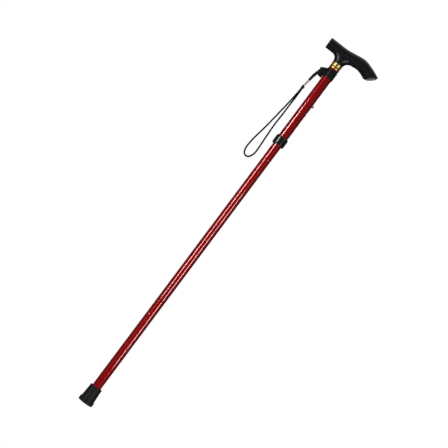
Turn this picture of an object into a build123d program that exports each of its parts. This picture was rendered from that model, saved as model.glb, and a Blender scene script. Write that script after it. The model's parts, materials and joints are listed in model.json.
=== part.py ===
from build123d import *
from math import cos, pi, radians, sin, tan
import os

# Folding walking stick. Millimetres, +Z up along the shaft, +X towards the handle's nose,
# origin at the centre of the rubber foot's tread.

# ---- driving dimensions ----
section_diameter = 20.0  # the four folding sections
upper_diameter = 22.0  # the tube under the handle
wall = 1.0
upper_wall = 0.8
joint_levels = (597.0, 412.0, 227.0)  # where sections 1-2, 2-3 and 3-4 meet
joint_gap = 0.2  # seam between one section's end and the next
neck_length = 29.0  # coupler that enters the section above
root_length = 25.0  # coupler pressed into its own section
coupler_diameter = 17.8
coupler_bore = 14.2
cap_thickness = 2.0
bungee_diameter = 5.0
adjuster_top = 800.0  # upper end of section 1, inside the upper tube

ring_bottom, ring_top = 670.0, 690.0  # lock ring
ring_diameter = 28.0
bush_diameter = 25.0
bush_bottom = 677.0
upper_tube_bottom = 678.5
upper_tube_top = 904.5

button_level = 781.0
button_diameter = 6.0
hole_pitch = 20.0
holes_each_way = 3
button_tip = 14.3  # distance from the shaft's axis

# leaf spring behind the snap button
leaf_thickness = 0.6
leaf_width = 7.0
leaf_radius = 7.5  # middle of the strip from the shaft's axis
leaf_top = button_level + 7.0
bow_level = 760.0

# anchors at the elastic cord's two ends
anchor_low, anchor_high = 714.0, 728.0
end_washer_thickness = 1.5
knot_height = 8.0

strap_collar_bottom, strap_collar_top = 848.5, 869.5
brass_bottom, brass_top = 872.5, 886.0
plug_bottom = 864.5

# screw that holds the handle down on the upper tube's plug
screw_radius = 2.0
screw_head = (4.0, 3.5)  # radius and height
screw_socket = (1.6, 2.0)  # hexagon's radius and depth
screw_seat = 878.5
screw_top = 918.0

# lens-shaped inlay in the handle's nose
inlay_border = 3.6  # width of grip left round it
inlay_thickness = 2.6
inlay_recess = 0.3
inlay_pocket = 3.5

foot_height = 40.0
foot_radius = 16.75
tread_grooves = (4.0, 7.6, 11.2)
groove_depth = 1.6
tube_seat = 9.0  # the tip tube stands this high in the foot
washer_thickness = 1.5

# wrist strap: a pin through the collar's lug, a forked link, a sleeve, a bead and a loop of cord
strap_pivot = (-24.0, 847.6)  # x and z of the pin
pin_radius = 1.25
pin_hole = 1.3
pin_length = 10.4
lug_thickness = 6.0
fork_width, fork_slot = 9.6, 6.6
link_radius = 3.0
link_tail = 16.0
link_end = (-28.4, 0, 823.0)
sleeve_end = (-30.4, 0, 806.5)
sleeve_radius = 2.5
bead_centre = (-30.4, 0, 803.0)
bead_radius = 3.5
bead_gap = 0.3
cord_diameter = 3.6
strap_cord_start = 799.6

section_radius = section_diameter / 2
upper_radius = upper_diameter / 2
section_bore = section_radius - wall
upper_bore = upper_radius - upper_wall
cord_hole = bungee_diameter / 2 + 0.6
cord_seat = bungee_diameter / 2 + 0.3


# ---- helpers ----
def ring(outer, inner, low, high):
    """A tube about the shaft's axis, from one level to another."""
    height = high - low
    base = (Align.CENTER, Align.CENTER, Align.MIN)
    tube = Cylinder(outer, height, align=base)
    if inner:
        tube -= Cylinder(inner, height, align=base)
    return Pos(0, 0, low) * tube


def turned(points):
    """A solid turned about the shaft's axis from an outline of (radius, height) points."""
    outline = Polyline(*[(r, 0, z) for r, z in points], close=True)
    return revolve(make_face(outline), Axis.Z)


def cross_rod(radius, x, z, width):
    """A round bar along Y."""
    return Pos(x, 0, z) * Rot(90, 0, 0) * Cylinder(radius, width)


def bar(start, end, radius):
    """A round bar from one point to another."""
    line = Vector(end) - Vector(start)
    base = (Align.CENTER, Align.CENTER, Align.MIN)
    return Plane(origin=start, z_dir=line) * Cylinder(radius, line.length, align=base)


def front_hole(radius, level):
    """A drill along +X that goes through the front wall of a tube and not the back one."""
    start = (section_radius / 2, 0, level)
    return bar(start, (upper_diameter, 0, level), radius)


def plate(points, thickness):
    """A flat plate in the XZ plane, centred on Y = 0."""
    face = make_face(Polyline(*[(x, 0, z) for x, z in points], close=True))
    return extrude(face, thickness / 2, dir=(0, 1, 0), both=True)


# ---- handle ----
# centre line of the grip from its back end to its nose:
# x, height above the brass collar, section height, width, and how far it leans towards the nose
grip_sections = (
    (-43.2, 27.7, 24.6, 23.0, 0),
    (-24.0, 27.3, 24.4, 24.5, 0),
    (0.0, 27.0, 24.2, 25.5, -2),
    (22.0, 28.9, 26.2, 26.0, -4),
    (42.0, 30.6, 26.9, 26.0, 6),
    (60.0, 25.6, 27.4, 25.0, 27),
    (75.5, 19.0, 30.4, 22.0, 50.7),
)
grip_roundness = 0.44  # corner radius of a section, as a share of its shorter side
# the stem flares from the collar into the grip: height above the collar, half length, half width
stem_sections = (
    (0.0, 12.0, 12.0),
    (6.0, 13.0, 12.0),
    (10.5, 15.4, 12.0),
    (14.5, 20.5, 12.1),
    (18.0, 27.0, 11.4),
    (23.0, 29.0, 10.0),
)


def leaning(angle):
    """The direction out of a grip section that leans this many degrees towards the nose."""
    return Vector(cos(radians(angle)), 0, -sin(radians(angle)))


def grip_section(x, rise, height, width, lean):
    plane = Plane(origin=(x, 0, brass_top + rise), x_dir=(0, 1, 0), z_dir=leaning(lean))
    return plane * RectangleRounded(width, height, grip_roundness * min(width, height))


def nose_lens(border, outside, depth):
    """A lens-shaped block in the nose's cut end, from a height outside it to a depth in it."""
    x, rise, height, width, lean = grip_sections[-1]
    out = leaning(lean)
    centre = Vector(x, 0, brass_top + rise) + out * outside
    plane = Plane(origin=centre, x_dir=(0, 1, 0), z_dir=out * -1)
    return extrude(plane * Ellipse(width / 2 - border, height / 2 - border), outside + depth)


def handle_grip():
    grip = loft([grip_section(*row) for row in grip_sections])
    stem = loft([Pos(0, 0, brass_top + rise) * Ellipse(a, b) for rise, a, b in stem_sections])
    body = grip + stem
    body -= ring(upper_radius, 0, brass_top - 1, upper_tube_top + 0.5)
    body -= ring(screw_radius, 0, upper_tube_top, screw_top + 0.5)
    return body - nose_lens(inlay_border, 0.5, inlay_pocket)


def nose_plug():
    """Inlay with a little room all round in its pocket."""
    return nose_lens(inlay_border + 0.1, -inlay_recess, inlay_recess + inlay_thickness)


def stem_plug():
    """Plastic insert that closes the upper tube and takes the handle's screw."""
    plug = ring(upper_bore, screw_radius + 0.1, plug_bottom, upper_tube_top)
    return plug - ring(screw_head[0] + 0.3, 0, plug_bottom - 1, screw_seat)


def stem_screw():
    radius, height = screw_head
    head_bottom = screw_seat - height
    head = ring(radius, 0, head_bottom, screw_seat)
    socket_radius, socket_depth = screw_socket
    socket = extrude(Pos(0, 0, head_bottom) * RegularPolygon(socket_radius, 6), socket_depth)
    return head + ring(screw_radius, 0, screw_seat, screw_top) - socket


def brass_collar():
    """Thin brass ferrule with a rolled bead at each end."""
    low, high = brass_bottom, brass_top
    return turned(
        (
            (upper_radius, low),
            (upper_radius + 0.9, low),
            (upper_radius + 1.2, low + 0.6),
            (upper_radius + 1.2, low + 1.6),
            (upper_radius + 0.8, low + 2.4),
            (upper_radius + 0.9, high - 2.6),
            (upper_radius + 1.5, high - 1.7),
            (upper_radius + 1.5, high - 0.5),
            (upper_radius + 1.2, high),
            (upper_radius, high),
        )
    )


# ---- upper tube, its strap collar and the height lock ----
def upper_tube():
    tube = ring(upper_radius, upper_bore, upper_tube_bottom, upper_tube_top)
    for step in range(-holes_each_way, holes_each_way + 1):
        tube -= front_hole(button_diameter / 2 + 0.3, button_level + step * hole_pitch)
    return tube


def strap_collar():
    """Clip-on plastic collar with the lug that carries the wrist strap."""
    band = 1.3
    body = ring(upper_radius + band, upper_radius, strap_collar_bottom, strap_collar_top)
    # x, and height above the collar's top
    lug_outline = (
        (-11.6, -1.9),
        (-18.8, -5.1),
        (-25.6, -9.3),
        (-24.6, -13.9),
        (-26.8, -20.1),
        (-26.6, -23.5),
        (-25.0, -25.1),
        (-11.6, -27.3),
    )
    lug = plate([(x, strap_collar_top + rise) for x, rise in lug_outline], lug_thickness)
    lug -= ring(upper_radius, 0, strap_collar_top - 30, strap_collar_top)
    return body + lug - cross_rod(pin_hole, *strap_pivot, 20)


def thread_bush():
    """Threaded end piece fixed round the mouth of the upper tube."""
    bush = ring(bush_diameter / 2, upper_radius, upper_tube_bottom, ring_top)
    return bush + ring(bush_diameter / 2, section_radius + 0.25, bush_bottom, upper_tube_bottom)


def collet():
    """Split ring that the lock ring closes on section 1."""
    low, high = ring_bottom + 1.6, bush_bottom - 0.1
    body = turned(
        (
            (section_radius + 0.1, low),
            (section_radius + 1.2, low),
            (section_radius + 2.2, low + 2.4),
            (section_radius + 2.2, high),
            (section_radius + 0.1, high),
        )
    )
    slots = 6
    slot_width, slot_rise = 0.9, 3.8
    slot = Pos(section_radius, 0, low) * Box(10, slot_width, 2 * slot_rise)
    for n in range(slots):
        body -= Rot(0, 0, n * 360 / slots) * slot
    return body


def lock_ring():
    """Plastic nut that tightens the collet; its thread is a plain running fit."""
    outer = ring_diameter / 2
    thread = bush_diameter / 2 + 0.15
    return turned(
        (
            (section_radius + 0.4, ring_bottom),
            (outer - 1.0, ring_bottom),
            (outer - 0.2, ring_bottom + 0.8),
            (outer, ring_bottom + 2.0),
            (outer, ring_top - 1.6),
            (outer - 0.8, ring_top),
            (thread, ring_top),
            (thread, bush_bottom - 0.2),
            (section_radius + 2.5, bush_bottom - 0.2),
            (section_radius + 2.5, ring_bottom + 4.2),
            (section_radius + 1.4, ring_bottom + 1.4),
            (section_radius + 0.4, ring_bottom + 1.4),
        )
    )


# ---- folding sections ----
def section(low, high):
    return ring(section_radius, section_bore, low, high)


def socket_section(joint, high):
    """A section whose lower end takes a neck, with a rolled crimp just above the neck's cap."""
    level = joint + neck_length + cap_thickness + 2.5
    round_over, offset = 1.1, 0.75
    groove = Pos(0, 0, level) * Torus(section_radius + offset, round_over)
    bead = Pos(0, 0, level) * Torus(section_bore + offset, round_over)
    bead &= ring((section_radius + section_bore) / 2, 0, level - 2, level + 2)
    return section(joint, high) - groove + bead


def adjuster_tube():
    tube = socket_section(joint_levels[0], adjuster_top)
    return tube - front_hole(button_diameter / 2 + 0.1, button_level)


def coupler_neck(joint):
    neck = ring(coupler_diameter / 2, coupler_bore / 2, joint, joint + neck_length)
    return chamfer(neck.edges().group_by(Axis.Z)[-1].sort_by(SortBy.RADIUS)[-1:], 0.5)


def neck_cap(joint):
    """Black end plug of a neck, with a smooth hole for the elastic cord."""
    top = joint + neck_length
    plug_length = 8.0
    plug = ring(coupler_bore / 2, cord_hole, top - plug_length, top)
    return plug + ring(coupler_diameter / 2 - 0.5, cord_hole, top, top + cap_thickness)


def coupler_root(joint):
    top = joint - joint_gap
    return ring(section_bore, coupler_bore / 2, top - root_length, top)


def bungee(low, high):
    return ring(bungee_diameter / 2, 0, low, high)


def knot(level, above):
    """A tied knot, as a rounded barrel on the upper or lower side of a level."""
    low = level if above else level - knot_height
    barrel = ring(bungee_diameter, 0, low, low + knot_height)
    return fillet(barrel.edges().filter_by(GeomType.CIRCLE), 0.4 * knot_height)


# ---- parts inside section 1 ----
def cord_anchor_plug():
    return ring(section_bore, cord_seat, anchor_low, anchor_high)


def spring_leg(side, low):
    height = leaf_top - low
    return Pos(side * leaf_radius, 0, low + height / 2) * Box(leaf_thickness, leaf_width, height)


def button_spring():
    """Back leg and bow of the leaf spring behind the snap button."""
    outer = leaf_radius + leaf_thickness / 2
    inner = outer - leaf_thickness
    bow = cross_rod(outer, 0, bow_level, leaf_width) - cross_rod(inner, 0, bow_level, leaf_width)
    upper_half = Pos(0, 0, bow_level + outer) * Box(4 * outer, 2 * leaf_width, 2 * outer)
    return bow - upper_half + spring_leg(-1, bow_level)


def button_leaf():
    """Front leg of the spring, which carries the button."""
    return spring_leg(1, bow_level + 0.1)


def snap_button():
    start = leaf_radius + leaf_thickness / 2
    base = (Align.CENTER, Align.CENTER, Align.MIN)
    pin = Cylinder(button_diameter / 2, button_tip - start, align=base)
    pin = fillet(pin.edges().group_by(Axis.Z)[-1], 1.8)
    return Pos(start, 0, button_level) * Rot(0, 90, 0) * pin


# ---- foot ----
def foot_washer():
    return ring(section_radius - 0.05, 0, tube_seat - washer_thickness, tube_seat)


def rubber_foot():
    """Rubber ferrule: a stepped flange round the base, ring grooves in its tread."""
    outline = [(0, 0)]
    for middle in tread_grooves:
        outline += [
            (middle - 1.0, 0),
            (middle - 0.6, groove_depth),
            (middle + 0.6, groove_depth),
            (middle + 1.0, 0),
        ]
    outline += [
        (14.0, 0),
        (15.6, 0.5),
        (foot_radius - 0.3, 1.6),
        (foot_radius, 3.0),
        (foot_radius, 8.8),
        (foot_radius - 0.5, 9.6),
        (15.3, 9.9),
        (14.9, 10.6),
        (14.5, 20.0),
        (13.7, 36.0),
        (13.3, 38.8),
        (12.4, foot_height),
        (section_radius, foot_height),
        (section_radius, tube_seat - washer_thickness),
        (0, tube_seat - washer_thickness),
    ]
    return turned(outline)


# ---- wrist strap ----
# the loop's two strands leave the bead one behind the other and part on the way down
cord_route = (
    (-30.9, -1.8, strap_cord_start),
    (-32.1, -1.5, 782.0),
    (-34.6, -1.1, 755.0),
    (-37.9, -1.2, 729.0),
    (-40.7, -1.3, 704.0),
    (-44.1, -1.2, 679.0),
    (-48.4, -0.9, 655.0),
    (-50.4, -0.4, 634.5),
    (-49.8, 0.2, 622.5),
    (-44.8, 0.7, 612.6),
    (-35.4, 1.1, 612.2),
    (-29.4, 1.5, 621.2),
    (-27.5, 1.8, 632.8),
    (-28.5, 2.0, 652.0),
    (-29.8, 2.0, 677.0),
    (-31.0, 1.7, 703.0),
    (-30.0, 1.3, 728.0),
    (-30.0, 1.2, 754.0),
    (-29.4, 1.4, 781.0),
    (-29.9, 1.8, strap_cord_start),
)


def cord_radii(points):
    """Corner radii: 0.45 of the shorter run, over the tangent of half the turn."""
    radii = []
    for before, here, after in zip(points, points[1:], points[2:]):
        run_in = Vector(*here) - Vector(*before)
        run_out = Vector(*after) - Vector(*here)
        half_turn = radians(run_in.get_angle(run_out)) / 2
        radii.append(0.45 * min(run_in.length, run_out.length) / tan(half_turn))
    return radii


def strap_cord():
    radii = cord_radii(cord_route)
    path = FilletPolyline(*cord_route, radius=radii)
    start = Plane(origin=path @ 0, z_dir=path % 0)
    tube = sweep(start * Circle(cord_diameter / 2), path=path)
    expected = path.length * pi * (cord_diameter / 2) ** 2
    print("cord radii", [round(r, 1) for r in radii])
    print(f"cord length {path.length:.1f}, volume {tube.volume:.1f}, section times length {expected:.1f}")
    return tube


def strap_pin():
    return cross_rod(pin_radius, *strap_pivot, pin_length)


def strap_link():
    """Moulded end of the strap: a straight bar, forked over the lug at its upper end."""
    x, z = strap_pivot
    overlap = 3.0  # the tail runs this far into the fork
    crotch = 2.0  # solid stretch between the fork's root and its slot
    wide = link_radius + 0.1
    along = (Vector(*link_end) - Vector(*sleeve_end)).normalized()
    tail = bar(Vector(*link_end) + along * link_tail, link_end, link_radius)
    root = Vector(*link_end) + along * (link_tail - overlap)
    cheeks = ((x - wide, z), (root.X - wide, root.Z), (root.X + wide, root.Z), (x + wide, z))
    fork = cross_rod(wide, x, z, fork_width) + plate(cheeks, fork_width)
    fork -= Pos(x, 0, z) * Box(5 * wide, fork_slot, 2 * (z - root.Z - crotch))
    return fork + tail - cross_rod(pin_hole, x, z, 20)


def strap_sleeve():
    return bar(link_end, sleeve_end, sleeve_radius)


def strap_bead():
    x, _, z = bead_centre
    barrel = Pos(x, 0, z) * Cylinder(bead_radius, 2 * (z - strap_cord_start) - bead_gap)
    barrel = fillet(barrel.edges().filter_by(GeomType.CIRCLE), 1.2)
    return barrel - bar(link_end, sleeve_end, sleeve_radius)


# ---- all sub-parts ----
parts = {
    "handle_grip": handle_grip(),
    "nose_plug": nose_plug(),
    "stem_plug": stem_plug(),
    "stem_screw": stem_screw(),
    "brass_collar": brass_collar(),
    "upper_tube": upper_tube(),
    "strap_collar": strap_collar(),
    "thread_bush": thread_bush(),
    "collet": collet(),
    "lock_ring": lock_ring(),
    "adjuster_tube": adjuster_tube(),
    "button_spring": button_spring(),
    "button_leaf": button_leaf(),
    "snap_button": snap_button(),
    "cord_anchor_plug": cord_anchor_plug(),
    "cord_top_knot": knot(anchor_high, above=True),
    "section_tube_2": socket_section(joint_levels[1], joint_levels[0] - joint_gap),
    "section_tube_3": socket_section(joint_levels[2], joint_levels[1] - joint_gap),
    "tip_tube": section(tube_seat, joint_levels[2] - joint_gap),
    "foot_washer": foot_washer(),
    "rubber_foot": rubber_foot(),
    "strap_pin": strap_pin(),
    "strap_link": strap_link(),
    "strap_sleeve": strap_sleeve(),
    "strap_bead": strap_bead(),
    "strap_cord": strap_cord(),
}

bungee_top = anchor_high
for number, joint in enumerate(joint_levels, start=1):
    neck_top = joint + neck_length + cap_thickness
    parts[f"coupler_neck_{number}"] = coupler_neck(joint)
    parts[f"neck_cap_{number}"] = neck_cap(joint)
    parts[f"bungee_neck_{number}"] = bungee(joint, neck_top)
    parts[f"coupler_root_{number + 1}"] = coupler_root(joint)
    parts[f"bungee_{number}"] = bungee(neck_top, bungee_top)
    bungee_top = joint - joint_gap

# the cord ends in a knot under a washer, below the last coupler's root
washer_top = bungee_top - root_length
washer_bottom = washer_top - end_washer_thickness
parts["cord_end_washer"] = ring(section_bore - 0.6, cord_seat, washer_bottom, washer_top)
parts["bungee_4"] = bungee(washer_bottom, bungee_top)
parts["cord_end_knot"] = knot(washer_bottom, above=False)

os.makedirs("parts", exist_ok=True)
for name, solid in parts.items():
    export_step(solid, f"parts/{name}.step")
print(len(parts), "nodes")
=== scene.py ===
"""Looks of a folding walking stick: derby handle, red tubes, lock ring, wrist strap and rubber foot."""

import json
import math

import bmesh
import bpy
from mathutils import Matrix, Vector


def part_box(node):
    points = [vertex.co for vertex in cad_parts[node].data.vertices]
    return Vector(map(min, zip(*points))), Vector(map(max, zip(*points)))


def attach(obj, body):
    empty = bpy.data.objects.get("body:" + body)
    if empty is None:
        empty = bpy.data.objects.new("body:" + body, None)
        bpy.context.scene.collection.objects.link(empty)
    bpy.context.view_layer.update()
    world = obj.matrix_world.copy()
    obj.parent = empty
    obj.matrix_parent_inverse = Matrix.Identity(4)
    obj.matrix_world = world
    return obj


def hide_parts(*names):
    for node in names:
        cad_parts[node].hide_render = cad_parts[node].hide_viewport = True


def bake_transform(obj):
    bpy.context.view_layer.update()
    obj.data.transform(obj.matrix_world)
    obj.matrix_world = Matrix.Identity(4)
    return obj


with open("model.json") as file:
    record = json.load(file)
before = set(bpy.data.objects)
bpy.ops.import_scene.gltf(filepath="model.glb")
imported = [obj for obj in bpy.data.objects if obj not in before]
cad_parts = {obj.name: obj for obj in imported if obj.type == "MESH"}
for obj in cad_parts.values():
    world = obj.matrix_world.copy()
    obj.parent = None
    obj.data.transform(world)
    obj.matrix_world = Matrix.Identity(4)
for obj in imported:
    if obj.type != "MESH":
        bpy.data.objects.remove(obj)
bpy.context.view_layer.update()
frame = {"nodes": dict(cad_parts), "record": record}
nodes = frame["nodes"]
MM = 0.001

# ---- sizes in millimetres, read from the frame ----


def corners(node):
    """A node's lowest and highest corners in millimetres."""
    low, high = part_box(node)
    return Vector(low) / MM, Vector(high) / MM


section_radius = corners("section_tube_2")[1].x
upper_radius = corners("upper_tube")[1].x
brass_low, brass_high = corners("brass_collar")
ring_low, ring_high = corners("lock_ring")
foot_high = corners("rubber_foot")[1]
collar_low, collar_high = corners("strap_collar")
bead_low, bead_high = corners("strap_bead")
button_low, button_high = corners("snap_button")
button_level = (button_low.z + button_high.z) / 2
pin_low, pin_high = corners("strap_pin")
pin = (pin_low + pin_high) / 2
stem_foot = brass_high.z

# sections of the grip from its back end to its nose: x, height above the brass collar,
# section height, width, and the lean towards the nose in degrees
grip_sections = (
    (-43.2, 27.7, 24.6, 23.0, 0),
    (-24.0, 27.3, 24.4, 24.5, 0),
    (0.0, 27.0, 24.2, 25.5, -2),
    (22.0, 28.9, 26.2, 26.0, -4),
    (42.0, 30.6, 26.9, 26.0, 6),
    (60.0, 25.6, 27.4, 25.0, 27),
    (75.5, 19.0, 30.4, 22.0, 50.7),
)
cut_end = grip_sections[-1]
# the stem: height above the brass collar, half length, half width
stem_sections = (
    (0.0, 12.0, 12.0),
    (3.0, 12.2, 12.0),
    (6.0, 13.0, 12.0),
    (10.5, 15.4, 12.0),
    (14.5, 20.5, 12.1),
    (18.0, 27.0, 11.4),
    (23.0, 29.0, 10.0),
)


def add_object(name, data):
    made = bpy.data.objects.new(name, data)
    bpy.context.scene.collection.objects.link(made)
    return made


# ---- camera: the stick leans to the right in the picture, seen from a little below its middle ----
camera_distance = 2.4
camera_rise = math.radians(5.0)
camera_roll = math.radians(36.74)
picture_centre = Vector((0.0096, 0, 0.4686))
sensor = 36.0
millimetres_across = 939.5


def add_camera():
    ahead = Vector((0, math.cos(camera_rise), math.sin(camera_rise)))
    along_shaft = Vector((0, -math.sin(camera_rise), math.cos(camera_rise)))
    nose_way = Vector((1, 0, 0))
    up = along_shaft * math.cos(camera_roll) - nose_way * math.sin(camera_roll)
    right = along_shaft * math.sin(camera_roll) + nose_way * math.cos(camera_roll)
    data = bpy.data.cameras.new("camera")
    data.sensor_width = sensor
    data.lens = sensor * camera_distance / (millimetres_across * MM)
    data.clip_end = 50
    camera = add_object("camera", data)
    turn = Matrix((right, up, -ahead)).transposed().to_4x4()
    camera.matrix_world = Matrix.Translation(picture_centre - ahead * camera_distance) @ turn
    bpy.context.scene.camera = camera


add_camera()


# ---- mesh helpers ----
def once_round(count):
    """The angles of count equal steps round a circle."""
    return [2 * math.pi * k / count for k in range(count)]


def smooth(mesh, crisp_from=None):
    """Smooth shading; edges that turn more than crisp_from degrees are kept crisp."""
    mesh.polygons.foreach_set("use_smooth", [True] * len(mesh.polygons))
    if crisp_from:
        mesh.set_sharp_from_angle(angle=math.radians(crisp_from))


def new_piece(name, points, faces):
    """A mesh object from points in millimetres."""
    mesh = bpy.data.meshes.new(name)
    mesh.from_pydata([Vector(p) * MM for p in points], [], faces)
    build = bmesh.new()
    build.from_mesh(mesh)
    bmesh.ops.remove_doubles(build, verts=build.verts, dist=1e-6)
    bmesh.ops.recalc_face_normals(build, faces=build.faces)
    build.to_mesh(mesh)
    build.free()
    smooth(mesh, 40)
    return add_object(name, mesh)


def bake_modifiers(piece):
    """Replaces a piece's mesh with what its modifiers make of it."""
    bpy.context.view_layer.update()
    graph = bpy.context.evaluated_depsgraph_get()
    mesh = bpy.data.meshes.new_from_object(piece.evaluated_get(graph))
    piece.modifiers.clear()
    piece.data = mesh


def combine(piece, tool, operation="DIFFERENCE"):
    """Cuts a second mesh away from a piece, or joins it on; the second one is used up."""
    step = piece.modifiers.new("combine", "BOOLEAN")
    step.operation = operation
    step.solver = "EXACT"
    step.object = tool
    bake_modifiers(piece)
    bpy.data.objects.remove(tool)
    smooth(piece.data, 35)


def skin(rings, caps=True):
    """Points and faces of a surface through closed rings of equal length."""
    count = len(rings[0])
    points = [p for ring in rings for p in ring]
    faces = []
    for row in range(len(rings) - 1):
        for n in range(count):
            a, b = row * count + n, row * count + (n + 1) % count
            faces.append((a, b, b + count, a + count))
    if caps:
        faces.append(tuple(range(count)))
        last = (len(rings) - 1) * count
        faces.append(tuple(range(last, last + count)))
    return points, faces


def lathe(name, outline, segments, centre=(0, 0)):
    """A turned solid from a closed outline of (radius, height) points."""
    rings = []
    for angle in once_round(segments):
        c, s = math.cos(angle), math.sin(angle)
        rings.append([(centre[0] + r * c, centre[1] + r * s, z) for r, z in outline])
    return new_piece(name, *skin(rings + rings[:1], caps=False))


def rounded(outline, radius):
    """A closed outline with its corners rounded; radius is one number or one for each corner.

    A point on each straight side, close to each round, keeps the side's shading straight."""
    radii = radius if hasattr(radius, "__len__") else [radius] * len(outline)
    steps = 4
    margin = 0.015  # of the side's length
    most = 0.48  # of the side's length, so that two rounds don't meet
    out = []
    for n, here in enumerate(outline):
        here = Vector(here)
        before, after = Vector(outline[n - 1]), Vector(outline[(n + 1) % len(outline)])
        r = min(radii[n], (here - before).length * most, (after - here).length * most)
        if r < 1e-6:
            out.append(tuple(here))
            continue
        start = here + (before - here).normalized() * r
        end = here + (after - here).normalized() * r
        out.append(tuple(start + (before - here) * margin))
        for k in range(steps + 1):
            t = k / steps
            out.append(tuple(start * (1 - t) ** 2 + here * 2 * t * (1 - t) + end * t * t))
        out.append(tuple(end + (after - here) * margin))
    return out


def aim(piece, start, direction):
    """Turns a piece made up the Z axis to point another way from a start in millimetres."""
    turn = Vector((0, 0, 1)).rotation_difference(Vector(direction)).to_matrix().to_4x4()
    piece.data.transform(Matrix.Translation(Vector(start) * MM) @ turn)
    return piece


def rod(name, radius, start, end, edge=0.3, segments=48):
    """A round bar with rounded ends."""
    line = Vector(end) - Vector(start)
    outline = [(0, 0), (radius, 0), (radius, line.length), (0, line.length)]
    return aim(lathe(name, rounded(outline, (0, edge, edge, 0)), segments), start, line)


def slab(name, outline, thickness, bevel):
    """A flat piece in the XZ plane, centred on Y = 0, with every edge rounded."""
    half = thickness / 2
    sides = [[(x, y, z) for x, z in outline] for y in (-half, half)]
    piece = new_piece(name, *skin(sides))
    step = piece.modifiers.new("bevel", "BEVEL")
    step.width = bevel * MM
    step.segments = 3
    step.limit_method = "ANGLE"
    bake_modifiers(piece)
    smooth(piece.data, 35)
    return piece


def catmull(values, t):
    """A smooth curve through rows of numbers, at row position t."""
    n = min(int(t), len(values) - 2)
    f = t - n
    p1, p2 = values[n], values[n + 1]
    p0 = values[n - 1] if n else [2 * a - b for a, b in zip(p1, p2)]
    p3 = values[n + 2] if n + 2 < len(values) else [2 * b - a for a, b in zip(p1, p2)]
    return [
        0.5 * (2 * b + (c - a) * f + (2 * a - 5 * b + 4 * c - d) * f * f + (3 * b - a - 3 * c + d) * f**3)
        for a, b, c, d in zip(p0, p1, p2, p3)
    ]


# ---- material helpers ----
class Look:
    """A material's node tree around one Principled shader, with positions in millimetres."""

    def __init__(self, name, **constants):
        self.material = bpy.data.materials.new(name)
        self.material.use_nodes = True
        self.tree = self.material.node_tree
        self.shader = self.tree.nodes["Principled BSDF"]
        for socket, value in constants.items():
            self.shader.inputs[socket.replace("_", " ")].default_value = value
        coordinates = self.node("ShaderNodeTexCoord")
        self.place = self.node("ShaderNodeMapping", Vector=coordinates.outputs["Object"])
        self.place.inputs["Scale"].default_value = (1 / MM, 1 / MM, 1 / MM)
        self.position = self.place.outputs[0]

    def node(self, kind, settings=(), **links):
        made = self.tree.nodes.new(kind)
        for key, value in dict(settings).items():
            setattr(made, key, value)
        for socket, source in links.items():
            self.join(source, made.inputs[socket.replace("_", " ")])
        return made

    def join(self, source, socket):
        if isinstance(source, bpy.types.NodeSocket):
            self.tree.links.new(source, socket)
        else:
            socket.default_value = source

    def maths(self, operation, a, b=0.0):
        made = self.node("ShaderNodeMath", {"operation": operation})
        self.join(a, made.inputs[0])
        self.join(b, made.inputs[1])
        return made.outputs[0]

    def stretched(self, scale):
        """Positions in millimetres, scaled by a different amount along each axis."""
        made = self.node("ShaderNodeMapping", Vector=self.position)
        made.inputs["Scale"].default_value = scale
        return made.outputs[0]

    def noise(self, size, detail=3.0, roughness=0.55, position=None):
        """Noise whose features are about size millimetres across."""
        made = self.node(
            "ShaderNodeTexNoise",
            Vector=position or self.position,
            Scale=1.0 / size,
            Detail=detail,
            Roughness=roughness,
        )
        return made.outputs["Fac"]

    def span(self, value, low, high, to_low, to_high):
        """Carries low..high over to to_low..to_high."""
        made = self.node(
            "ShaderNodeMapRange",
            Value=value,
            From_Min=low,
            From_Max=high,
            To_Min=to_low,
            To_Max=to_high,
        )
        return made.outputs[0]

    def mix(self, share, first, second):
        made = self.node("ShaderNodeMix", {"data_type": "RGBA"})
        self.join(share, made.inputs["Factor"])
        self.join(first, made.inputs["A"])
        self.join(second, made.inputs["B"])
        return made.outputs["Result"]

    def patches(self, pattern, first, second):
        """Two colours, shared out by the middle of a pattern's range."""
        return self.mix(self.span(pattern, 0.3, 0.7, 0, 1), first, second)

    def rubbed(self, base, share, colour):
        """A base colour with some of another one on its outer edges."""
        pointiness = self.node("ShaderNodeNewGeometry").outputs["Pointiness"]
        edges = self.span(pointiness, 0.52, 0.62, 0, 1)
        return self.mix(self.maths("MULTIPLY", edges, share), base, colour)

    def colour(self, source):
        self.join(source, self.shader.inputs["Base Color"])

    def rough(self, pattern, least, most, low=0.3, high=0.7):
        """Roughness from least to most, as a pattern goes from low to high."""
        self.join(self.span(pattern, low, high, least, most), self.shader.inputs["Roughness"])

    def bump(self, height, distance):
        """Relief of a height in 0..1, distance millimetres deep; a second call adds to the first."""
        made = self.node("ShaderNodeBump", Height=height, Distance=distance * MM, Strength=1.0)
        socket = self.shader.inputs["Normal"]
        if socket.is_linked:
            self.tree.links.new(socket.links[0].from_socket, made.inputs["Normal"])
        self.tree.links.new(made.outputs[0], socket)


def grey(value):
    return (value, value, value, 1)


# ---- materials ----
def anodised_red():
    look = Look(
        "anodised_red",
        Metallic=0.45,
        IOR=1.45,
        Specular_IOR_Level=0.0,
        Coat_Weight=1.0,
        Coat_Roughness=0.07,
        Coat_IOR=1.7,
    )
    drawn = look.noise(1.0, 3.0, 0.5, look.stretched((1.6, 1.6, 0.004)))
    cloud = look.noise(40.0, 2.0, 0.5)
    base = look.patches(cloud, (0.34, 0.0020, 0.0034, 1), (0.43, 0.0028, 0.0046, 1))
    look.colour(look.mix(look.span(drawn, 0.35, 0.75, 0, 0.3), base, (0.50, 0.005, 0.008, 1)))
    look.rough(drawn, 0.34, 0.42, 0.25, 0.75)
    look.bump(drawn, 0.0002)
    return look.material


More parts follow.
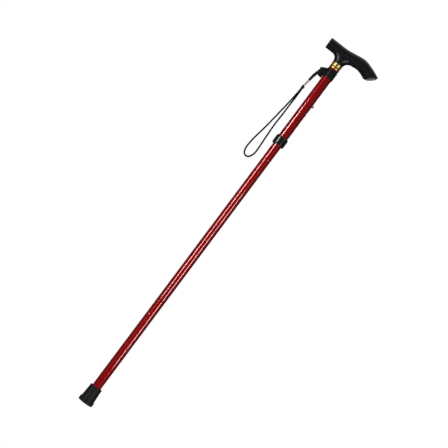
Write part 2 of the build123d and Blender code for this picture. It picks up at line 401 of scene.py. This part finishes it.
def grip_plastic():
    look = Look("grip_plastic", IOR=1.46)
    grain = look.noise(0.45, 3.0, 0.6)
    cloud = look.noise(16.0, 3.0)
    base = look.patches(cloud, (0.0050, 0.0050, 0.0058, 1), (0.0078, 0.0078, 0.0090, 1))
    look.colour(look.rubbed(base, 0.12, (0.03, 0.03, 0.032, 1)))
    look.rough(cloud, 0.33, 0.39)
    look.bump(grain, 0.004)
    return look.material


def black_plastic():
    look = Look("black_plastic", IOR=1.45, Specular_IOR_Level=0.25, Coat_Weight=0.8, Coat_Roughness=0.06)
    grain = look.noise(0.3, 2.0)
    cloud = look.noise(9.0, 3.0)
    base = look.patches(cloud, (0.0046, 0.0058, 0.0064, 1), (0.0074, 0.0090, 0.0098, 1))
    look.colour(look.rubbed(base, 0.15, (0.035, 0.038, 0.042, 1)))
    look.rough(cloud, 0.30, 0.40)
    look.bump(grain, 0.003)
    return look.material


def inlay_plastic():
    """Dark plug with a painted highlight: its raised rim is coloured light grey for the light it catches;
    the rim is told by its height out of the cut end.
    """
    look = Look("inlay_plastic", IOR=1.5, Coat_Weight=0.4, Coat_Roughness=0.12)
    cloud = look.noise(6.0, 3.0)
    x, z, lean = cut_end[0], stem_foot + cut_end[1], math.radians(cut_end[-1])
    split = look.node("ShaderNodeSeparateXYZ", Vector=look.position)
    out_x = look.maths("MULTIPLY", look.maths("SUBTRACT", split.outputs["X"], x), math.cos(lean))
    out_z = look.maths("MULTIPLY", look.maths("SUBTRACT", split.outputs["Z"], z), -math.sin(lean))
    height = look.maths("ADD", out_x, out_z)
    # painted highlight: the mask picks out the raised rim, which gets the light grey
    rim = look.maths("MULTIPLY", look.span(height, 0.7, 1.1, 0, 1), look.span(height, 2.3, 2.6, 1, 0))
    dark = look.mix(cloud, (0.010, 0.010, 0.011, 1), (0.020, 0.020, 0.021, 1))
    # light grey of the painted highlight on the rim
    light = look.mix(cloud, (0.50, 0.50, 0.51, 1), (0.62, 0.62, 0.63, 1))
    look.colour(look.mix(rim, dark, light))
    look.rough(cloud, 0.24, 0.32)
    look.bump(look.noise(0.4), 0.003)
    return look.material


def white_plastic():
    look = Look("white_plastic", IOR=1.48, Subsurface_Weight=0.15)
    look.shader.inputs["Subsurface Radius"].default_value = (0.001, 0.001, 0.0008)
    cloud = look.noise(5.0, 3.0)
    look.colour(look.mix(cloud, (0.62, 0.61, 0.56, 1), (0.72, 0.71, 0.67, 1)))
    look.rough(cloud, 0.4, 0.5)
    look.bump(look.noise(0.3), 0.006)
    return look.material


def brass():
    look = Look("brass", Metallic=1.0, Coat_Weight=0.2, Coat_Roughness=0.1)
    turned = look.noise(1.0, 3.0, 0.6, look.stretched((0.12, 0.12, 5.0)))
    cloud = look.noise(5.0, 3.0)
    look.colour(look.patches(cloud, (0.80, 0.53, 0.16, 1), (0.94, 0.67, 0.25, 1)))
    look.rough(turned, 0.30, 0.42)
    look.bump(turned, 0.003)
    return look.material


def metal(name, dark, light, least_rough, most_rough, grain):
    look = Look(name, Metallic=1.0)
    streaks = look.noise(1.0, 4.0, 0.6, look.stretched(grain))
    look.colour(look.patches(streaks, grey(dark), grey(light)))
    look.rough(streaks, least_rough, most_rough)
    look.bump(streaks, 0.004)
    return look.material


def foot_rubber():
    look = Look("foot_rubber", IOR=1.36)
    grain = look.noise(0.5, 4.0, 0.65)
    cloud = look.noise(12.0, 4.0)
    base = look.patches(cloud, (0.0045, 0.0052, 0.0056, 1), (0.0080, 0.0088, 0.0092, 1))
    look.colour(look.rubbed(base, 0.25, (0.04, 0.039, 0.038, 1)))
    look.rough(grain, 0.48, 0.60)
    look.bump(grain, 0.012)
    return look.material


def braid(name, dark, light, strands, pitch, relief, fuzz):
    """Braided cover on cord that has its own UV map: U once around, V in millimetres along it."""
    look = Look(name, Specular_IOR_Level=0.2, Sheen_Weight=fuzz, Sheen_Roughness=0.5)
    uv = look.node("ShaderNodeUVMap").outputs[0]
    return braid_on(look, uv, dark, light, strands, pitch, relief)


def braid_on(look, uv, dark, light, strands, pitch, relief):
    """Two families of strands that cross, with painted shade darkening the valleys between them; pitch is
    the length of one turn of all of them.
    """
    split = look.node("ShaderNodeSeparateXYZ", Vector=uv)
    around = look.maths("MULTIPLY", split.outputs["X"], 2 * math.pi * strands)
    along = look.maths("MULTIPLY", split.outputs["Y"], 2 * math.pi * strands / pitch)
    left = look.maths("SINE", look.maths("ADD", around, along))
    right = look.maths("SINE", look.maths("SUBTRACT", around, along))
    over = look.maths("SINE", along)
    height = look.maths("MAXIMUM", left, look.maths("MULTIPLY", right, 0.92))
    height = look.maths("ADD", height, look.maths("MULTIPLY", over, 0.12))
    height = look.span(height, -1.1, 1.1, 0.0, 1.0)
    fibre = look.noise(0.12, 2.0)
    # painted shade: low strand height gets the dark colour; the fibre noise varies the tone at random
    valley_shade_and_fibre_tone = look.maths("MULTIPLY", height, look.span(fibre, 0.2, 0.8, 0.7, 1.0))
    look.colour(look.mix(valley_shade_and_fibre_tone, dark, light))
    look.rough(fibre, 0.65, 0.9, 0.2, 0.8)
    look.bump(height, relief)
    look.bump(fibre, relief * 0.2)
    return look.material


# dark colour (painted shade in the valleys between strands) and light colour, strands, pitch and relief
bungee_braid = ((0.36, 0.36, 0.35, 1), (0.80, 0.80, 0.77, 1), 8, 24.0, 0.25)
strap_braid = ((0.001, 0.001, 0.001, 1), (0.004, 0.004, 0.005, 1), 6, 10.0, 0.12)


def bungee_fabric():
    """White braid for the straight cord inside the tubes, mapped round the shaft's axis."""
    look = Look("bungee_fabric", Sheen_Weight=0.3, Sheen_Roughness=0.5)
    split = look.node("ShaderNodeSeparateXYZ", Vector=look.position)
    angle = look.maths("ARCTAN2", split.outputs["Y"], split.outputs["X"])
    turn = look.maths("DIVIDE", angle, 2 * math.pi)
    uv = look.node("ShaderNodeCombineXYZ", X=turn, Y=split.outputs["Z"])
    return braid_on(look, uv.outputs[0], *bungee_braid)


def clear_sleeve():
    """Clear tube over a silvery crimp: a metallic core under a glossy coat."""
    look = Look("clear_sleeve", Metallic=0.3, Coat_Weight=0.8, Coat_Roughness=0.05)
    cloud = look.noise(3.0, 3.0)
    look.colour(look.mix(cloud, (0.68, 0.65, 0.66, 1), (0.82, 0.78, 0.79, 1)))
    look.rough(cloud, 0.2, 0.32)
    look.bump(look.noise(0.6), 0.006)
    return look.material


looks = {
    "anodised_red": anodised_red(),
    "grip_plastic": grip_plastic(),
    "black_plastic": black_plastic(),
    "inlay_plastic": inlay_plastic(),
    "white_plastic": white_plastic(),
    "brass": brass(),
    "steel": metal("steel", 0.45, 0.62, 0.25, 0.4, (0.3, 0.3, 5.0)),
    "spring_steel": metal("spring_steel", 0.30, 0.46, 0.22, 0.36, (6.0, 6.0, 0.3)),
    "button_chrome": metal("button_chrome", 0.50, 0.64, 0.20, 0.30, (0.6, 3.0, 3.0)),
    "foot_rubber": foot_rubber(),
    "bungee_fabric": bungee_fabric(),
    "strap_fabric": braid("strap_fabric", *strap_braid, fuzz=0.0),
    "clear_sleeve": clear_sleeve(),
}
slot_of = {row["node"]: row["material_slot"] for row in frame["record"]["subparts"]}
body_of = {n: b for b, names in frame["record"]["behaviour"]["bodies"].items() for n in names}


def dress(piece, slot):
    piece.data.materials.clear()
    piece.data.materials.append(looks[slot])


def stand_in(piece, node, *more):
    """The piece takes a node's place, body and material slot."""
    dress(piece, slot_of[node])
    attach(piece, body_of[node])
    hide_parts(node, *more)
    return piece


for node, obj in nodes.items():
    dress(obj, slot_of[node])


# ---- wrist cord: its route is the one in the CAD, in millimetres ----
cord_diameter = 3.6
cord_route = (
    (-30.9, -1.8, 799.6),
    (-32.1, -1.5, 782.0),
    (-34.6, -1.1, 755.0),
    (-37.9, -1.2, 729.0),
    (-40.7, -1.3, 704.0),
    (-44.1, -1.2, 679.0),
    (-48.4, -0.9, 655.0),
    (-50.4, -0.4, 634.5),
    (-49.8, 0.2, 622.5),
    (-44.8, 0.7, 612.6),
    (-35.4, 1.1, 612.2),
    (-29.4, 1.5, 621.2),
    (-27.5, 1.8, 632.8),
    (-28.5, 2.0, 652.0),
    (-29.8, 2.0, 677.0),
    (-31.0, 1.7, 703.0),
    (-30.0, 1.3, 728.0),
    (-30.0, 1.2, 754.0),
    (-29.4, 1.4, 781.0),
    (-29.9, 1.8, 799.6),
)


def spline_points(route):
    """Points of the smooth curve that a route controls, in millimetres."""
    curve = bpy.data.curves.new("route", "CURVE")
    curve.dimensions = "3D"
    spline = curve.splines.new("NURBS")
    spline.points.add(len(route) - 1)
    for point, place in zip(spline.points, route):
        point.co = (*place, 1)
    spline.order_u = 3
    spline.use_endpoint_u = True
    spline.resolution_u = 16
    guide = add_object("route", curve)
    bpy.context.view_layer.update()
    graph = bpy.context.evaluated_depsgraph_get()
    mesh = bpy.data.meshes.new_from_object(guide.evaluated_get(graph))
    points = [v.co.copy() for v in mesh.vertices]
    bpy.data.objects.remove(guide)
    bpy.data.curves.remove(curve)
    bpy.data.meshes.remove(mesh)
    return points


def tube_along(name, path, radius, around=20):
    """A round tube along points, with U once around and V in millimetres along it."""
    rings, lengths, travelled = [], [], 0.0
    side = Vector((0, 1, 0))
    for n, here in enumerate(path):
        before, after = path[max(n - 1, 0)], path[min(n + 1, len(path) - 1)]
        ahead = (after - before).normalized()
        side = (side - ahead * side.dot(ahead)).normalized()
        up = ahead.cross(side)
        if n:
            travelled += (here - path[n - 1]).length
        lengths.append(travelled)
        turns = once_round(around)
        rings.append([here + (side * math.cos(a) + up * math.sin(a)) * radius for a in turns])
    points, faces = skin(rings)
    mesh = bpy.data.meshes.new(name)
    mesh.from_pydata([Vector(p) * MM for p in points], [], faces)
    uv = mesh.uv_layers.new(name="UVMap")
    for face in mesh.polygons:
        last_column = max(v % around for v in face.vertices) == around - 1
        for corner in face.loop_indices:
            row, column = divmod(mesh.loops[corner].vertex_index, around)
            closing = len(face.vertices) == 4 and last_column and column == 0
            uv.data[corner].uv = (1.0 if closing else column / around, lengths[row])
    smooth(mesh, 50)
    return add_object(name, mesh), travelled


def wrist_cord():
    path = spline_points(cord_route)
    cord, length = tube_along("wrist_cord", path, cord_diameter / 2)
    stand_in(cord, "strap_cord")


# ---- handle ----
grip_fullness = 2.35  # 2 is an ellipse
stem_fullness = 2.0
end_rounding = 1.6
nose_bulge = 1.6  # the cut end swells outwards
voxel = 0.55
# the soft fillet where the grip and stem meet: half length, half height, how soon it's at full strength
fillet_length, fillet_height, fillet_gain = 44, 12, 2.2


def superellipse(half_width, half_height, fullness):
    def fuller(value):
        return math.copysign(abs(value) ** (2 / fullness), value)

    turns = once_round(72)
    return [(fuller(math.cos(a)) * half_width, fuller(math.sin(a)) * half_height) for a in turns]


def grip_ring(x, z, height, width, lean, inward=0.0, along=0.0):
    """One section of the grip, drawn in all round and moved along the way it leans."""
    lean = math.radians(lean)
    out = Vector((math.cos(lean), 0, -math.sin(lean)))
    up = Vector((math.sin(lean), 0, math.cos(lean)))
    centre = Vector((x, 0, stem_foot + z)) + out * along
    shape = superellipse(width / 2 - inward, height / 2 - inward, grip_fullness)
    return [centre + Vector((0, a, 0)) + up * b for a, b in shape]


def grip_rings():
    """The rounded back end, the swept body, and the cut end with its worn edge."""
    rings = []
    steps = 6
    for k in range(steps):
        angle = math.pi / 2 * k / steps
        inward, along = (end_rounding * (1 - turn) for turn in (math.sin(angle), math.cos(angle)))
        rings.append(grip_ring(*grip_sections[0], inward, along))
    rows = 66
    last = len(grip_sections) - 1
    for k in range(1, rows):
        rings.append(grip_ring(*catmull(grip_sections, last * k / rows)))
    for inward, along in ((0.0, -0.9), (0.25, -0.3)):
        rings.append(grip_ring(*cut_end, inward, along))
    first, pitch, half_width = 0.8, 1.25, cut_end[3] / 2
    for k in range(8):
        inward = first + k * pitch
        rings.append(grip_ring(*cut_end, inward, nose_bulge * (1 - (1 - inward / half_width) ** 2)))
    return rings


def stem_rings():
    """The stem from the brass collar up into the grip."""
    rings = []
    rows = 24
    last = len(stem_sections) - 1
    for k in range(rows + 1):
        z, a, b = catmull(stem_sections, last * k / rows)
        rings.append([(p, q, stem_foot + z) for p, q in superellipse(a, b, stem_fullness)])
    return rings


def handle():
    """Grip and stem joined, remeshed, and softened where they meet."""
    grip = new_piece("grip_body", *skin(grip_rings()))
    stem = new_piece("grip_stem", *skin(stem_rings()))
    join = grip.modifiers.new("join", "BOOLEAN")
    join.operation = "UNION"
    join.solver = "EXACT"
    join.object = stem
    remesh = grip.modifiers.new("remesh", "REMESH")
    remesh.mode = "VOXEL"
    remesh.voxel_size = voxel * MM
    bake_modifiers(grip)
    bpy.data.objects.remove(stem)
    junction = grip.vertex_groups.new(name="junction")
    for vertex in grip.data.vertices:
        x, _, z = vertex.co / MM
        rise = z - stem_foot - fillet_height
        near = max(0.0, 1 - abs(x) / fillet_length) * max(0.0, 1 - abs(rise) / fillet_height)
        if near > 0:
            junction.add([vertex.index], min(1.0, near * fillet_gain), "REPLACE")
    soften = grip.modifiers.new("soften", "SMOOTH")
    soften.factor = 0.6
    soften.iterations = 70
    soften.vertex_group = "junction"
    finish = grip.modifiers.new("finish", "SMOOTH")
    finish.factor = 0.5
    finish.iterations = 4
    bake_modifiers(grip)
    smooth(grip.data)
    grip.name = "handle"
    return stand_in(grip, "handle_grip")


def nose_inlay():
    """A lens-shaped plug in the cut end: a raised rim round a shallow domed centre."""
    border = 3.7
    # inward from the border, and height above the cut end
    rim = ((0.0, -2.4), (0.0, 1.7), (0.2, 2.15), (0.6, 2.3), (1.0, 2.15), (1.2, 1.8), (1.5, 1.8))
    dome = ((1.7, 2.4), (2.4, 2.75), (4.0, 3.1), (5.6, 3.25))
    rings = [grip_ring(*cut_end, border + inward, along) for inward, along in rim + dome]
    stand_in(new_piece("nose_inlay", *skin(rings)), "nose_plug")


handle()
nose_inlay()


# ---- tubes ----
hole_pitch = 20.0
tube_edge = 0.3
crimp_rise = 2.5  # above the neck cap


def tube_outline(outer, inner, low, high, crimp=None):
    """Half section of a tube, with an optional rolled groove at a level."""
    outline = rounded([(outer, high), (inner, high), (inner, low), (outer, low)], tube_edge)
    if crimp is not None:
        half_groove = ((2.0, 0), (1.2, 0), (0.7, 0.12), (0.25, 0.34))
        outline += [(outer - depth, crimp - rise) for rise, depth in half_groove]
        outline += [(outer - depth, crimp + rise) for rise, depth in reversed(half_groove)]
    return outline


def tube(node, wall, crimped_above=None, holes=(), hole_radius=3.0):
    low, high = corners(node)
    crimp = corners(crimped_above)[1].z + crimp_rise if crimped_above else None
    piece = lathe(node + "_tube", tube_outline(high.x, high.x - wall, low.z, high.z, crimp), 128)
    drill_from, drill_to = 5, 20  # through the front wall only
    for level in holes:
        combine(piece, rod("hole", hole_radius, (drill_from, 0, level), (drill_to, 0, level)))
    return stand_in(piece, node)


height_holes = [button_level + hole_pitch * n for n in range(-3, 4)]
tube("upper_tube", 0.8, holes=height_holes, hole_radius=3.3)
tube("adjuster_tube", 1.0, "neck_cap_1", holes=[button_level], hole_radius=3.1)
tube("section_tube_2", 1.0, "neck_cap_2")
tube("section_tube_3", 1.0, "neck_cap_3")
tube("tip_tube", 1.0)


# ---- turned pieces on the shaft ----
def turned(node, outline, edge, segments=128):
    return stand_in(lathe(node + "_turned", rounded(outline, edge), segments), node)


def brass_collar():
    """A ferrule with a bead at each end and a hollowed band between thin grooves."""
    low, high, bore = brass_low.z, brass_high.z, upper_radius
    wide = brass_high.x
    turned(
        "brass_collar",
        (
            (bore, low),
            (wide - 0.5, low),
            (wide - 0.2, low + 1.3),
            (wide - 0.5, low + 2.6),
            (wide - 1.1, low + 2.8),
            (wide - 1.1, low + 3.4),
            (wide - 0.6, low + 3.6),
            (wide - 1.0, (low + high) / 2 - 0.2),
            (wide - 0.6, high - 4.2),
            (wide - 1.1, high - 4.0),
            (wide - 1.1, high - 3.4),
            (wide - 0.3, high - 3.1),
            (wide, high - 1.6),
            (wide - 0.3, high),
            (bore, high),
        ),
        0.3,
    )


def lock_ring():
    """A ring with two thin grooves, open above for the thread bush."""
    low, high, wide = ring_low.z, ring_high.z, ring_high.x
    thread = wide - 1.35
    seat = low + 6.8
    # height from the groove's middle, and depth
    groove = ((-0.4, 0), (-0.2, 0.25), (0.2, 0.25), (0.4, 0))
    outline = [(section_radius + 0.4, low), (wide - 1.0, low), (wide, low + 1.7)]
    for level in (low + 3.4, high - 3.4):
        outline += [(wide - depth, level + rise) for rise, depth in groove]
    outline += [
        (wide, high - 1.4),
        (wide - 0.8, high),
        (thread, high),
        (thread, seat),
        (section_radius + 2.5, seat),
        (section_radius + 2.5, low + 4.2),
        (section_radius + 1.4, low + 1.4),
        (section_radius + 0.4, low + 1.4),
    ]
    turned("lock_ring", outline, 0.3)


def rubber_foot():
    """Stepped flange, tapering body, rolled mouth, and ring grooves in the tread."""
    wide, high = foot_high.x, foot_high.z
    pocket = 7.5
    # radius, height, rounding
    profile = [(0, 0, 0)]
    for middle in (4.0, 7.6, 11.2):
        profile += [(middle + r, z, 0.2) for r, z in ((-1.0, 0), (-0.6, 1.6), (0.6, 1.6), (1.0, 0))]
    profile += [
        (wide, 0, 3.0),
        (wide, 9.5, 0.7),
        (15.3, 9.9, 0.6),
        (14.6, 20, 4.0),
        (13.7, 36.4, 0.4),
        (14.0, 37.2, 0.5),
        (14.0, 39.0, 0.7),
        (13.0, high, 0.7),
        (section_radius, high, 0.3),
        (section_radius, pocket, 0.2),
        (0, pocket, 0),
    ]
    turned("rubber_foot", [row[:2] for row in profile], [row[2] for row in profile])


def coupler(number):
    """The neck that goes up into the socket above, and the cap where it leaves its section."""
    neck, cap = f"coupler_neck_{number}", f"neck_cap_{number}"
    low, high = corners(neck)
    wall, chamfer = 1.8, 0.6
    bore = high.x - wall
    outline = ((bore, low.z), (high.x, low.z), (high.x, high.z - chamfer), (high.x - chamfer, high.z))
    turned(neck, outline + ((bore, high.z),), 0.25)
    low, high = corners(cap)
    mouth, plug, brim = 3.1, high.x - 1.3, high.z - 2
    outline = ((mouth, low.z), (plug, low.z), (plug, brim), (high.x, brim), (high.x, high.z))
    turned(cap, outline + ((mouth, high.z),), (0.5, 0.3, 0.1, 0.2, 0.8, 0.8))


brass_collar()
lock_ring()
rubber_foot()
for number in (1, 2, 3):
    coupler(number)


# ---- snap button ----
def snap_button():
    """A domed pin that points forwards."""
    radius = (button_high.z - button_low.z) / 2
    reach = button_high.x - button_low.x
    dome = 0.9
    outline = [(0, 0), (radius, 0), (radius, reach - dome), (radius - 1.0, reach), (0, reach)]
    piece = lathe("button_dome", rounded(outline, (0, 0.2, 1.4, 1.2, 0)), 64)
    stand_in(aim(piece, (button_low.x, 0, button_level), (1, 0, 0)), "snap_button")


snap_button()


# ---- strap collar, link, sleeve and bead ----
link_end = Vector((-28.4, 0, 823.0))
sleeve_end = Vector((-30.4, 0, 806.5))
strap_line = (link_end - sleeve_end).normalized()
pin_radius = 1.25
pin_hole = 1.3


def drill_for_pin(piece):
    reach = 8
    combine(piece, rod("hole", pin_hole, (pin.x, -reach, pin.z), (pin.x, reach, pin.z)))


def strap_collar():
    """A snap-on ring with the thick lug that carries the strap's pin."""
    low, high = collar_low.z + 6.3, collar_high.z  # the lug hangs lower than the ring
    bore, wide = upper_radius, upper_radius + 1.3
    ring = [(bore, low), (wide, low), (wide, high), (bore, high)]
    piece = lathe("collar_ring", rounded(ring, 0.6), 128)
    # x, and height above the collar's top
    lug_outline = [
        (-11.3, -1.9),
        (-18.8, -5.1),
        (-25.6, -9.3),
        (-24.6, -13.9),
        (-26.8, -20.1),
        (-26.6, -23.5),
        (-25.0, -25.1),
        (-11.3, -27.3),
    ]
    lug_thickness, past = 6.0, 20
    lug = slab("lug", rounded([(x, high + z) for x, z in lug_outline], 0.9), lug_thickness, 0.6)
    combine(lug, rod("shaft", bore, (0, 0, low - past), (0, 0, high + past), segments=128))
    combine(piece, lug, "UNION")
    drill_for_pin(piece)
    stand_in(piece, "strap_collar")


def strap_pin():
    half = (pin_high.y - pin_low.y) / 2
    ends = (pin.x, -half, pin.z), (pin.x, half, pin.z)
    stand_in(rod("pin", pin_radius, *ends, edge=0.5), "strap_pin")


def strap_link():
    """A straight moulded bar, forked over the lug at its upper end."""
    tail, tail_radius = 16.0, 3.0
    root = link_end + strap_line * (tail - 3)
    cheek, slot, width = 3.1, 6.6, 9.6
    steps = 12
    turns = [math.pi * k / steps for k in range(steps + 1)]
    arch = [(pin.x + cheek * math.cos(a), pin.z + cheek * math.sin(a)) for a in turns]
    outline = arch + [(root.x - cheek, root.z), (root.x + cheek, root.z)]
    piece = slab("link_fork", outline, width, 0.7)
    across, web = 8, 2  # half the cutter's length, and what's left under the slot
    up = pin.z - root.z - web
    ways = ((-1, -1), (1, -1), (1, 1), (-1, 1))
    box = [(pin.x + x * across, pin.z + z * up) for x, z in ways]
    combine(piece, slab("slot", box, slot, 0.3))
    combine(piece, rod("tail", tail_radius, link_end + strap_line * tail, link_end, 0.5), "UNION")
    drill_for_pin(piece)
    stand_in(piece, "strap_link")


def strap_sleeve():
    """A crimped sleeve with a raised band at each end."""
    length = (link_end - sleeve_end).length
    wide, waist = 2.5, 2.25
    band, slope = 1.6, 1.9
    outline = [(0, 0), (wide, 0), (wide, band), (waist, slope)]
    outline += [(waist, length - slope), (wide, length - band), (wide, length), (0, length)]
    piece = lathe("sleeve", rounded(outline, (0, 0.4, 0.2, 0.2, 0.2, 0.2, 0.4, 0)), 48)
    stand_in(aim(piece, sleeve_end, strap_line), "strap_sleeve")


def strap_bead():
    """A stopper bead that draws the cord's two strands together."""
    radius = (bead_high.x - bead_low.x) / 2
    middle = (bead_high + bead_low) / 2
    low, high = bead_low.z, bead_high.z
    # a shallow groove round the middle: depth, height from the middle
    groove = ((0, -0.9), (0.3, -0.5), (0.3, 0.5), (0, 0.9))
    outline = [(0, low), (radius, low)]
    outline += [(radius - depth, middle.z + rise) for depth, rise in groove]
    outline += [(radius, high), (0, high)]
    edges = (0, 1.6, 0.2, 0.2, 0.2, 0.2, 1.6, 0)
    stand_in(lathe("bead", rounded(outline, edges), 64, (middle.x, middle.y)), "strap_bead")


strap_collar()
strap_pin()
strap_link()
strap_sleeve()
strap_bead()
wrist_cord()


# ---- elastic cord: its long lengths, and where it turns from a neck into the next section ----
def elastic_length(name, cover, radius, top, bottom):
    rows = 60
    path = [Vector((0, 0, top + (bottom - top) * n / rows)) for n in range(rows + 1)]
    length, _ = tube_along(name, path, radius, 28)
    length.data.materials.append(cover)
    return length


def elastic_cord():
    """A straight length where each bungee is, and a short straight length across each joint, both baked
    where they stand."""
    reach = 2.9  # of the short length, to either side of the joint
    clearance = 0.05  # over the cord inside the neck
    cover = braid("bungee_bend", *bungee_braid, fuzz=0.3)
    joints = (
        (1, "adjuster", "section_2", True),
        (2, "section_2", "section_3", False),
        (3, "section_3", "tip", True),
    )
    for number, upper, lower, folds_to_the_front in joints:
        low, high = corners(f"bungee_{number}")
        length = elastic_length(f"bungee_length_{number}", cover, high.x, high.z, low.z)
        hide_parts(f"bungee_{number}")
        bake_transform(length)
        level = corners(f"coupler_neck_{number}")[0].z
        top, bottom = level + reach, level - reach
        radius = corners(f"bungee_neck_{number}")[1].x + clearance
        bend = elastic_length(f"bungee_bend_{number}", cover, radius, top, bottom)
        if folds_to_the_front:
            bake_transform(bend)
        else:
            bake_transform(bend)


elastic_cord()


# ---- floor, lights and world ----
def floor_look():
    """Pale, and lit up evenly for the camera so that it meets the white behind it."""
    look = Look("floor", Roughness=0.9, IOR=1.3, Emission_Color=grey(1.0))
    cloud = look.noise(300.0, 2.0)
    look.colour(look.mix(cloud, grey(0.78), grey(0.80)))
    path = look.node("ShaderNodeLightPath")
    look.join(path.outputs["Is Camera Ray"], look.shader.inputs["Emission Strength"])
    return look.material


def add_floor():
    """Just below where the foot comes when the stick is set to its longest."""
    reach, level, count = 0.3, -0.07, 96
    points = [(reach * math.cos(a), reach * math.sin(a), level) for a in once_round(count)]
    mesh = bpy.data.meshes.new("floor")
    mesh.from_pydata(points, [], [range(count)])
    mesh.materials.append(floor_look())
    add_object("floor", mesh)


def add_light(name, place, target, width, height, power, mirrored=True):
    """A soft panel; one that isn't mirrored lights the object without showing in its gloss."""
    data = bpy.data.lights.new(name, "AREA")
    data.shape = "RECTANGLE"
    data.size = width
    data.size_y = height
    data.energy = power
    light = add_object(name, data)
    light.location = place
    light.rotation_euler = (Vector(target) - Vector(place)).to_track_quat("-Z", "Y").to_euler()
    light.visible_glossy = mirrored


def add_world():
    """White to the camera; to the object, a soft grey room that is darker behind it."""
    world = bpy.data.worlds.new("studio")
    world.use_nodes = True
    tree = world.node_tree
    tree.nodes.clear()
    seen = tree.nodes.new("ShaderNodeBackground")
    seen.inputs["Color"].default_value = grey(1.0)
    direction = tree.nodes.new("ShaderNodeTexCoord")
    split = tree.nodes.new("ShaderNodeSeparateXYZ")
    fade = tree.nodes.new("ShaderNodeMapRange")
    limits = (("From Min", -0.7), ("From Max", 0.5), ("To Min", 0.07), ("To Max", 0.05))
    for socket, number in limits:
        fade.inputs[socket].default_value = number
    lit = tree.nodes.new("ShaderNodeBackground")
    lit.inputs["Color"].default_value = grey(1.0)
    path = tree.nodes.new("ShaderNodeLightPath")
    choose = tree.nodes.new("ShaderNodeMixShader")
    out = tree.nodes.new("ShaderNodeOutputWorld")
    tree.links.new(direction.outputs["Generated"], split.inputs[0])
    tree.links.new(split.outputs["Y"], fade.inputs["Value"])
    tree.links.new(fade.outputs[0], lit.inputs["Strength"])
    tree.links.new(path.outputs["Is Camera Ray"], choose.inputs[0])
    tree.links.new(lit.outputs[0], choose.inputs[1])
    tree.links.new(seen.outputs[0], choose.inputs[2])
    tree.links.new(choose.outputs[0], out.inputs[0])
    bpy.context.scene.world = world


def add_sun(power, spread):
    """A very soft light from straight above; spread in degrees."""
    data = bpy.data.lights.new("overhead", "SUN")
    data.energy = power
    data.angle = math.radians(spread)
    add_object("overhead", data)


add_floor()
add_sun(0.8, 70)
add_light("left_upper_strip", (-1.53, -1.29, 1.10), (0, 0, 0.80), 0.34, 0.20, 4.9)
add_light("left_lower_strip", (-1.29, -1.53, 0.65), (0, 0, 0.45), 0.34, 0.74, 11.8)
add_light("right_strip", (1.31, -1.51, 0.37), (0, 0, 0.28), 0.32, 0.82, 11.4)
add_light("back_panel", (-0.62, 1.85, 0.80), (0, 0, 0.50), 0.34, 1.30, 10.0, mirrored=False)
add_light("back_strip", (-0.95, 1.75, 0.70), (0, 0, 0.50), 0.34, 1.30, 3.0)
add_world()
bpy.context.scene.view_settings.view_transform = "Standard"
